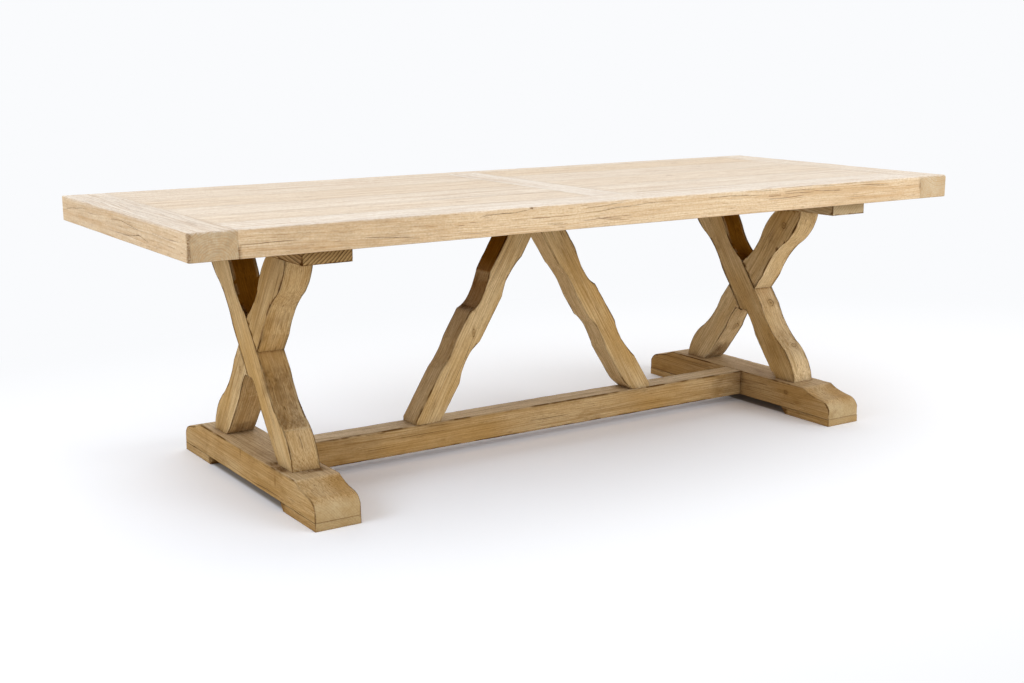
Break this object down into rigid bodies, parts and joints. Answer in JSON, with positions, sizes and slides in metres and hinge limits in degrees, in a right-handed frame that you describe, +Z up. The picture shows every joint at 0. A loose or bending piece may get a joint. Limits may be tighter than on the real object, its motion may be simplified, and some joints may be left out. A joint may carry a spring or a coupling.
{
  "type": "sawbuck table",
  "caption": "Long dining table: thick plank top with breadboard ends and a cross board, on crossed half-lapped trestles with rounded feet, a low stretcher and wavy braces.",
  "frame": {"origin": "on the floor, under the middle of the table top", "axes": "+X along the top, +Y from front to back, +Z up"},
  "size_m": [2.5, 0.97, 0.768],
  "materials": {
    "top_wood": "bleached old elm, matt, worn",
    "base_wood": "honey-brown old elm, matt, worn",
    "cleat_wood": "grey-brown rough-sawn wood",
    "steel": "plain screws, out of sight"
  },
  "bodies": {
    "root": {"back_edge_board": "top_wood", "brace_foot_screws": "steel", "brace_left": "base_wood", "brace_right": "base_wood", "brace_top_screws": "steel", "breadboard_end_left": "top_wood", "breadboard_end_right": "top_wood", "centre_cleat": "cleat_wood", "centre_cleat_screws": "steel", "centre_cross_board": "top_wood", "cleat_left": "cleat_wood", "cleat_right": "cleat_wood", "cleat_screws_left": "steel", "cleat_screws_right": "steel", "foot_left": "base_wood", "foot_pad_left_back": "base_wood", "foot_pad_left_front": "base_wood", "foot_pad_right_back": "base_wood", "foot_pad_right_front": "base_wood", "foot_pad_screws": "steel", "foot_right": "base_wood", "front_edge_board": "top_wood", "left_field_plank_1": "top_wood", "left_field_plank_2": "top_wood", "left_field_plank_3": "top_wood", "left_field_plank_4": "top_wood", "leg_foot_screws": "steel", "leg_left_back": "base_wood", "leg_left_front": "base_wood", "leg_right_back": "base_wood", "leg_right_front": "base_wood", "leg_top_screws": "steel", "right_field_plank_1": "top_wood", "right_field_plank_2": "top_wood", "right_field_plank_3": "top_wood", "right_field_plank_4": "top_wood", "stretcher": "base_wood", "stretcher_screws": "steel"}
  },
  "joints": []
}
